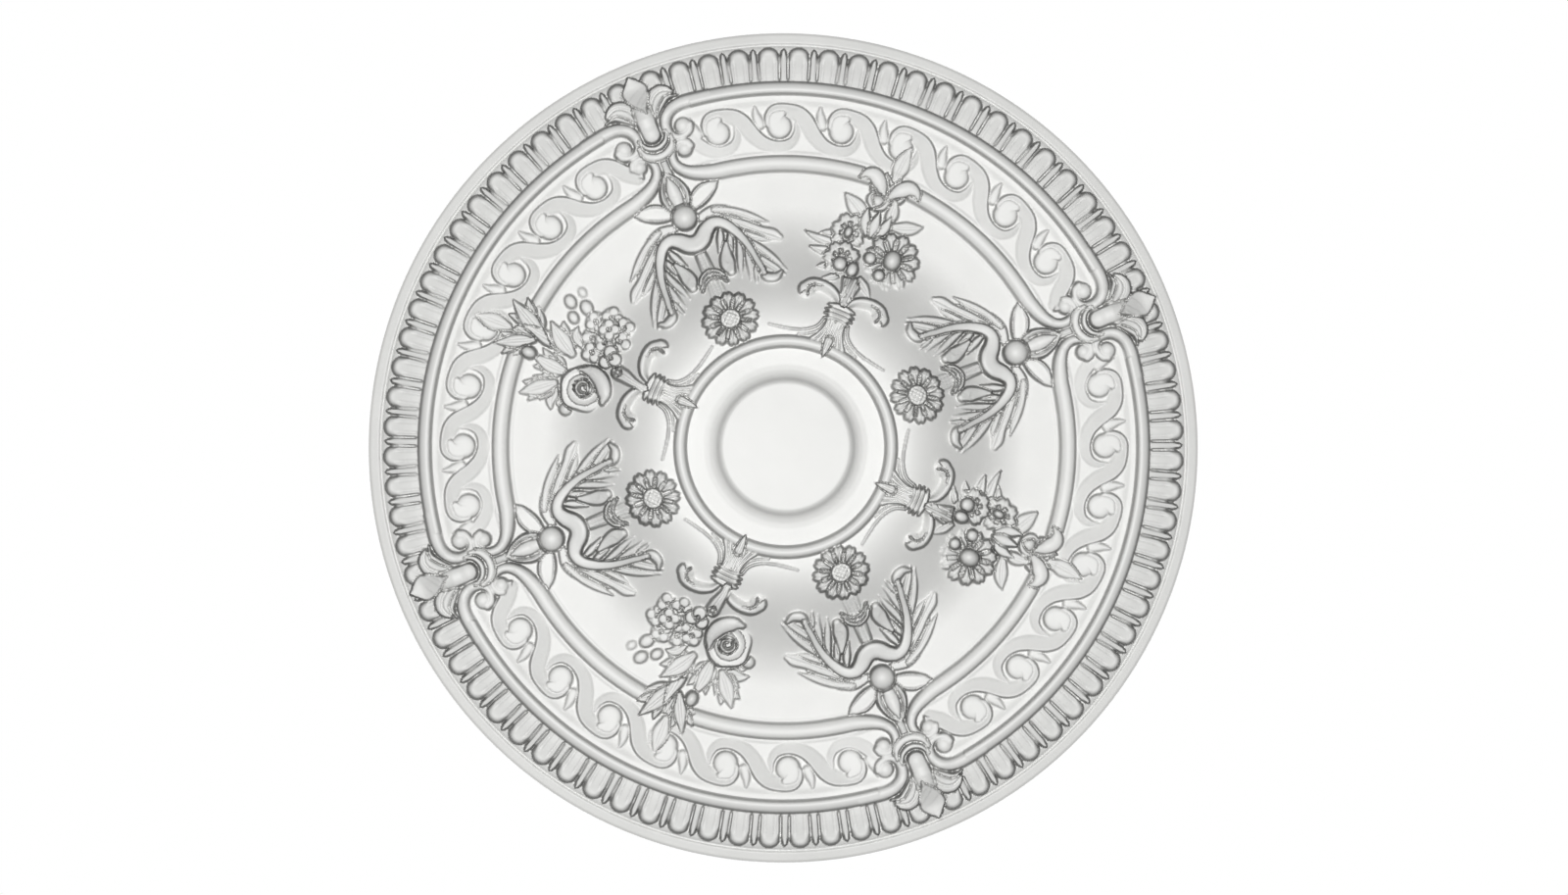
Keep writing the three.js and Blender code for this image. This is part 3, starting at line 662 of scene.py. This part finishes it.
for axis in daisy_axes:
    patch = window(axis, *daisy_window)
    for share in stalk_shares:
        strand(patch, fanned(stalk, share), rounded, share=0.3)
    for shape in first_leaves:
        leaf(patch, *shape)
    leaf_fan(patch, roll_leaf, roll_leaf_shares, veined)
    for side in (1, -1):
        strand(patch, roll_wrap, rounded, side, 0.5)
    for shape in field_leaves:
        leaf(patch, *shape)
    dome(patch, *rosebud)
    for shape in rosebud_leaves:
        leaf(patch, *shape, rounded)
    bloom(patch, *left_daisy, slim=side_petal_slim, vein=side_vein)
    leaf_fan(patch, standing_petal, standing_petal_shares, rounded)
    bloom(patch, *lower_daisy, slim=side_petal_slim, vein=side_vein)
    bloom(patch, *large_daisy, slim=large_petal_slim, vein=large_vein)
    for boss in daisy_bosses:
        dome(patch, *boss)
    for berry in berries:
        dome(patch, *berry, power=berry_power)

# The rose bouquets
# An open rose, a hydrangea head, a pansy, a sprig, serrated leaves and a tall leaf that climbs
# over the inner roll into the scroll band, all from one curled spathe.

rose_axes, rose_shifts, rose_window = (156.0, 246.0), (0.0, -4.5), (72, 144, 335)
# Leaves as in the daisy bouquets, and lobed ones, whose lobes are given as shares of the leaf: where
# they start and end along it and how far they reach sideways.
scroll_leaf = ((-2, 296), (-3, 313), (-4, 330), 9, 6.5)
roll_lobed = (((-4, 268), (-13, 285), (-23, 303), 10, 12), ((4, 262), (13, 282), (24, 303), 12, 12.5))
climbing_leaf = ((1, 240), (3, 258), (6, 282), 8, 13)
field_lobed = (
    ((-34, 226), (-48, 229), (-60, 224), 9.4, 7.5), ((-34, 232), (-46, 246), (-57, 260), 11.6, 7.5),
    ((-20, 226), (-20, 244), (-17, 264), 11, 8), ((-1, 228), (8, 244), (20, 260), 12.6, 8),
)
short_leaf = ((10, 222), (17, 231), (26, 233), 6, 7)
leaf_lobes = ((0.05, 0.52, 0.34), (0.3, 0.82, 0.27))
lobe_width, lobe_rise, lobed_width = 0.55, 0.9, 0.75
sprig = ((58, 243, 5, 3.5), (45, 250, 6.6, 7), (46, 233, 7, 7.5), (32, 241, 6, 7))
sprig_stretch, sprig_turn = 1.3, -35
spathe = ((-4, 148, 3.4, 10), (-3, 160, 5.4, 12), (-1, 170, 7.2, 13), (0, 178, 7.6, 12))
spathe_mouth = (0, 178.6, 4, 16)
side_bud, top_bud = (-53, 211.5, 7.6, 11), (-17, 267, 7.2, 15, 1.3)
rose_head, rose_heart = (-28, 204, 24.5, 15), (-27.5, 204.5, 9, 17)
petals_apart, petal_tightening, petal_step, petal_sink = 6.0, 0.92, 4.4, 3
rose_fold = ((-33, 180.6, 4, 13), (-24, 182.6, 8, 16), (-14, 190.6, 9, 17), (-9.6, 202, 7.6, 16),
             (-12, 214, 2.6, 12))
heart_curl = ((-32, 199.4, 2, 17), (-34, 204.6, 3, 18.4), (-29.6, 209.4, 3.2, 19),
              (-23.4, 207.6, 3.2, 19), (-22.6, 202, 2.6, 18.4), (-27, 200.4, 1.4, 17))
hydrangea_bed, floret_size = (33, 204, 19, 7), 11.5
# Each floret is its middle, rise and turn in degrees.
florets = ((21, 216, 7, 20), (37, 219, 7, 50), (47, 206, 7.5, 10), (42, 191, 8, 35), (28, 189, 8, 0),
           (8, 210, 8.5, 45), (22, 203, 9.5, 70), (35, 204, 10, 25))
pansy_petals, pansy_eye = ((4.6, 194), (15.4, 193.6), (10, 186.4)), (10, 191.6, 2.6, 13.5)
pansy_reach, pansy_rise = 7.8, 11.5


def open_rose(patch, s0, a0, reach, rise):
    """A dome in a wavy outline, with petals as steps along a spiral round its middle: each step
    rises with the square of the way to the next one."""
    index, s, a = patch
    ds, da = s - s0, a - a0
    far = np.hypot(ds, da)
    on = far < reach
    middle = ground_below(index[on], s[on], ds[on], da[on])
    index, far, angle = index[on], far[on], np.arctan2(da[on], ds[on])
    u = far / reach
    outline = reach * (0.96 + 0.04 * np.sin(5 * angle + 1))
    step = ((far / petals_apart) ** petal_tightening - angle / (2 * np.pi)) % 1
    petals = petal_step * step ** 2 * soft_step(far / 4)
    top = rise * (0.5 + 0.5 * np.sqrt(1 - u * u)) + petals - petal_sink
    lay(index, top, outline - far, True, middle)


def lobed(patch, root, middle, tip, width, rise):
    """A leaf with two shorter, straight and lower lobes on each side."""
    root, middle, tip = (np.array(point, float) for point in (root, middle, tip))
    span = tip - root
    beside = np.array([-span[1], span[0]])
    for low, high, sideways in leaf_lobes:
        for hand in (1, -1):
            start, end = root + low * span, root + high * span + hand * sideways * beside
            leaf(patch, start, (start + end) / 2, end, width * lobe_width, rise * lobe_rise)
    leaf(patch, root, middle, tip, width * lobed_width, rise)


def floret(patch, s0, a0, size, rise, turn):
    """Four flat round petals round a pip, on a lower round bed."""
    dome(patch, s0, a0, 0.96 * size, 0.55 * rise, power=8)
    for k in range(4):
        side = math.radians(turn + 90 * k)
        dome(patch, s0 + 0.5 * size * math.cos(side), a0 + 0.5 * size * math.sin(side), 0.54 * size,
             rise, power=5, over=False)
    dome(patch, s0, a0, 0.2 * size, rise + 1)


for axis, shift in zip(rose_axes, rose_shifts):
    patch = window(axis, *rose_window, shift)
    leaf(patch, *scroll_leaf)
    for shape in roll_lobed:
        lobed(patch, *shape)
    leaf(patch, *climbing_leaf)
    for shape in field_lobed:
        lobed(patch, *shape)
    leaf(patch, *short_leaf)
    for leaflet in sprig:
        dome(patch, *leaflet, sprig_stretch, sprig_turn, power=3)
    strand(patch, spathe, veined)
    dome(patch, *spathe_mouth)
    dome(patch, *side_bud)
    open_rose(patch, *rose_head)
    strand(patch, rose_fold, rounded, share=0.4)
    dome(patch, *rose_heart, power=6)
    strand(patch, heart_curl, spread, share=0.5)
    dome(patch, *hydrangea_bed, power=3)
    for s0, a0, rise, turn in florets:
        floret(patch, s0, a0, floret_size, rise, turn)
    for s0, a0 in pansy_petals:
        dome(patch, s0, a0, pansy_reach, pansy_rise, power=6)
    dome(patch, *pansy_eye)
    dome(patch, *top_bud)

# The back
# The back is struck off flat where it meets the ceiling: a margin round the edge, a hub in the
# middle, and between them a shallow recess that leaves room for the glue.

recess_depth = 3.0
back_knots = ((0, 0), (60, 0), (63, recess_depth), (369, recess_depth), (372, 0), (410, 0))


def back_height(radius):
    """Flat steps with short slopes between them."""
    knots = np.array(back_knots)
    return np.interp(radius, knots[:, 0], knots[:, 1])


# The plaster
# Fine casting plaster, poured and hand-smoothed: matt, almost white, with soft unevenness left by
# the mould and a fine grain. The real grain, under 0.1 mm, is drawn ten times as coarse. The steep
# sides of the carving are painted a darker grey as painted shade, and the steeper a side, the darker it
# is.

# The third colour is the grey painted onto the steep sides as shade.
plaster_light, plaster_shade, painted_shade_colour = "e0e0df", "d8d8d7", "868684"
painted_shade_from, painted_shade_to, painted_shade_most = 0.32, 0.95, 0.75
plaster_roughness = 0.55
cloud_mm, grain_mm, unevenness_mm = 70.0, 1.1, 9.0
grain_height_mm, grain_strength = 0.15, 0.12
unevenness_height_mm, unevenness_strength = 0.35, 0.3


def linear(colour):
    """sRGB hex to linear RGBA."""
    parts = [int(colour[i:i + 2], 16) / 255 for i in (0, 2, 4)]
    return [c / 12.92 if c <= 0.04045 else ((c + 0.055) / 1.055) ** 2.4 for c in parts] + [1.0]


def node(tree, kind, settings=(), inputs=(), links=()):
    """Adds a node, sets it and its inputs, and links other sockets into it."""
    made = tree.nodes.new(kind)
    for key, value in dict(settings).items():
        setattr(made, key, value)
    for key, value in dict(inputs).items():
        made.inputs[key].default_value = value
    for key, socket in dict(links).items():
        tree.links.new(socket, made.inputs[key])
    return made


plaster = bpy.data.materials.new("casting_plaster_smoothed")
plaster.use_nodes = True
tree = plaster.node_tree
shader = tree.nodes["Principled BSDF"]
shader.inputs["Roughness"].default_value = plaster_roughness
place = node(tree, "ShaderNodeTexCoord").outputs["Object"]
cloud = node(tree, "ShaderNodeTexNoise", inputs={"Scale": 1 / (cloud_mm * MM), "Detail": 3.0},
             links={"Vector": place})
tint = node(tree, "ShaderNodeMix", {"data_type": "RGBA"}, links={"Factor": cloud.outputs["Fac"]})
tint.inputs["A"].default_value = linear(plaster_light)
tint.inputs["B"].default_value = linear(plaster_shade)
# Painted shade: the steepness of the face mixes in the darker grey, so steep sides look shaded.
steep = node(tree, "ShaderNodeAttribute", {"attribute_name": "steepness"})
held = node(tree, "ShaderNodeMapRange", inputs={"From Min": painted_shade_from, "From Max": painted_shade_to,
                                                "To Max": painted_shade_most},
            links={"Value": steep.outputs["Fac"]})
painted_shade_mix = node(tree, "ShaderNodeMix", {"data_type": "RGBA"}, links={"Factor": held.outputs["Result"]})
painted_shade_mix.inputs["B"].default_value = linear(painted_shade_colour)
tree.links.new(tint.outputs["Result"], painted_shade_mix.inputs["A"])
tree.links.new(painted_shade_mix.outputs["Result"], shader.inputs["Base Color"])
grain = node(tree, "ShaderNodeTexNoise", inputs={"Scale": 1 / (grain_mm * MM), "Detail": 2.0},
             links={"Vector": place})
uneven = node(tree, "ShaderNodeTexNoise", inputs={"Scale": 1 / (unevenness_mm * MM), "Detail": 2.0},
              links={"Vector": place})
fine = node(tree, "ShaderNodeBump",
            inputs={"Strength": grain_strength, "Distance": grain_height_mm * MM},
            links={"Height": grain.outputs["Fac"]})
broad = node(tree, "ShaderNodeBump",
             inputs={"Strength": unevenness_strength, "Distance": unevenness_height_mm * MM},
             links={"Height": uneven.outputs["Fac"], "Normal": fine.outputs["Normal"]})
tree.links.new(broad.outputs["Normal"], shader.inputs["Normal"])

# The casting
# The carved face as rings, each a closed body with its walls and its back. The cast is divided only
# to keep each mesh light: neighbours have the same radius, height and slope at their common edge.

heights = ground + relief
back_steps = (410.0, 397.6, 372, 369, 360.0, 313.0, 266.8, 226.0, 180.0, 92.6, 63, 60, 2.0)
start = 0


def hung(x, y, height):
    """From the face frame, turned face down under the ceiling, to metres."""
    return np.stack([-x, y, -height], axis=-1) * MM


def face_normals(points):
    """Cross product of the central differences along both directions of the grid."""
    down = points[2:] - points[:-2]
    along = np.roll(points, -1, axis=1) - np.roll(points, 1, axis=1)
    normal = np.cross(along[1:-1], down)
    return normal / np.linalg.norm(normal, axis=-1, keepdims=True)


def build_piece(name, front, normals, back, capped):
    """A loop of rows, over the face and back behind it, carried round the rose. The capped piece
    has no inner wall: its face and its back are closed in the middle instead. The face takes its
    own normals and the back one straight up. Steepness is 0 on the level and 1 on an upright
    wall, as one minus how far the normal points down."""
    loop = np.concatenate([front, back])
    rows, columns = loop.shape[:2]
    last = front.shape[0] - 1
    i, j = np.meshgrid(np.arange(rows), np.arange(columns), indexing="ij")
    below, beside = (i + 1) % rows, (j + 1) % columns
    quads = np.stack([i * columns + j, i * columns + beside, below * columns + beside,
                      below * columns + j], axis=-1)
    caps = []
    if capped:
        quads = np.delete(quads, last, axis=0)
        caps = [last * columns + np.arange(columns), (last + 1) * columns + np.arange(columns)[::-1]]
    corners = np.concatenate([quads.reshape(-1), *caps])
    starts = np.concatenate([np.arange(0, quads.size, 4),
                             quads.size + columns * np.arange(len(caps))]).astype(np.int32)
    mesh = bpy.data.meshes.new(name)
    mesh.vertices.add(rows * columns)
    mesh.vertices.foreach_set("co", loop.reshape(-1))
    mesh.loops.add(len(corners))
    mesh.loops.foreach_set("vertex_index", corners.astype(np.int32))
    mesh.polygons.add(len(starts))
    mesh.polygons.foreach_set("loop_start", starts)
    mesh.polygons.foreach_set("use_smooth", np.ones(len(starts), bool))
    mesh.update(calc_edges=True)
    to_face = np.zeros((rows * columns, 3))
    to_face[:front.shape[0] * columns] = normals.reshape(-1, 3)
    custom = to_face[corners]
    strip = 4 * columns
    custom[last * strip:] = 0
    custom[(last if capped else last + 1) * strip:quads.size - strip] = (0, 0, 1)
    mesh.normals_split_custom_set(custom.astype(np.float32))
    # Steepness is stored for the painted shade that the plaster puts on steep sides.
    steepness = np.zeros(rows * columns, np.float32)
    steepness[:front.shape[0] * columns] = 1 + normals[..., 2].reshape(-1)
    mesh.attributes.new("steepness", "FLOAT", "POINT").data.foreach_set("value", steepness)
    mesh.materials.append(plaster)
    piece = bpy.data.objects.new(name, mesh)
    bpy.context.collection.objects.link(piece)
    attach(piece, "root")
    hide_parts("ceiling_rose")


for (name, outer, inner, around, spacing), (radius, turn) in zip(rings, grids):
    count = radius.size
    height = heights[start:start + count].reshape(radius.shape)
    start += count
    points = hung(radius * np.cos(turn), radius * np.sin(turn), height)
    normals = face_normals(points)
    behind = np.array([r for r in back_steps[::-1] if inner <= r <= outer])
    back_radius, back_turn = np.meshgrid(behind, turn[0], indexing="ij")
    back = hung(back_radius * np.cos(back_turn), back_radius * np.sin(back_turn),
                back_height(back_radius))
    build_piece(name, points[1:-1], normals, back, inner == rings[-1][2])

# The studio
# A plain pale floor far below, a broad soft lamp beside the camera, one more above for the back,
# and a pale room that grows white overhead. Lengths are metres here, and lamps have watts.

floor_level, floor_half, floor_colour, floor_roughness = -5.6, 30.0, "e4e4e3", 0.9
rim_plane = -7 * MM
camera_place, camera_below_rim = (0.083, -0.040), 4.303
lens_mm, sensor_mm, camera_sight = 100, 36, 200
soft_lamp = (1.1, 187, (0.18, -0.10, -4.8), (0, 0, 0))
upper_lamp = (0.9, 45, (-0.06, 0.03, 3.0), (-0.06, 0.03, 0))
room_light, room_brightens, room_white = 0.36, 0.93, 0.965
view_gamma = 0.6

corners = [(-floor_half, -floor_half, floor_level), (floor_half, -floor_half, floor_level),
           (floor_half, floor_half, floor_level), (-floor_half, floor_half, floor_level)]
floor_mesh = bpy.data.meshes.new("floor")
floor_mesh.from_pydata(corners, [], [(0, 1, 2, 3)])
floor = bpy.data.objects.new("floor", floor_mesh)
bpy.context.collection.objects.link(floor)
floor_paint = bpy.data.materials.new("pale_floor_paint_rolled")
floor_paint.use_nodes = True
floor_shader = floor_paint.node_tree.nodes["Principled BSDF"]
floor_shader.inputs["Base Color"].default_value = linear(floor_colour)
floor_shader.inputs["Roughness"].default_value = floor_roughness
floor_mesh.materials.append(floor_paint)


def look(thing, place, target):
    """Puts a camera or lamp at its place and turns it: its back axis points away from the
    target, and its upper edge as far as it can towards +Y."""
    back = np.array(place, float) - np.array(target, float)
    back /= np.linalg.norm(back)
    right = np.cross((0, 1, 0), back)
    right /= np.linalg.norm(right)
    thing.location = place
    thing.rotation_euler = Matrix(np.array([right, np.cross(back, right), back]).T).to_euler()
    bpy.context.collection.objects.link(thing)


def disc_lamp(name, size, watts, place, target):
    """A round area lamp."""
    data = bpy.data.lights.new(name, "AREA")
    data.shape, data.size, data.energy = "DISK", size, watts
    look(bpy.data.objects.new(name, data), place, target)


camera_data = bpy.data.cameras.new("camera")
camera_data.lens, camera_data.sensor_width, camera_data.clip_end = lens_mm, sensor_mm, camera_sight
camera = bpy.data.objects.new("camera", camera_data)
look(camera, (*camera_place, rim_plane - camera_below_rim), (0, 0, rim_plane))
bpy.context.scene.camera = camera

disc_lamp("soft_lamp", *soft_lamp)
disc_lamp("upper_lamp", *upper_lamp)

room = bpy.data.worlds.new("pale_room")
bpy.context.scene.world = room
room.use_nodes = True
sky = room.node_tree
direction = node(sky, "ShaderNodeTexCoord").outputs["Generated"]
upward = node(sky, "ShaderNodeSeparateXYZ", links={"Vector": direction}).outputs["Z"]
overhead = node(sky, "ShaderNodeMapRange", inputs={"From Min": room_brightens, "From Max": room_white,
                                                  "To Min": room_light}, links={"Value": upward})
sky.links.new(overhead.outputs["Result"], sky.nodes["Background"].inputs["Strength"])
sky.nodes["Background"].inputs["Color"].default_value = (1, 1, 1, 1)
bpy.context.scene.view_settings.view_transform = "Standard"
bpy.context.scene.view_settings.gamma = view_gamma
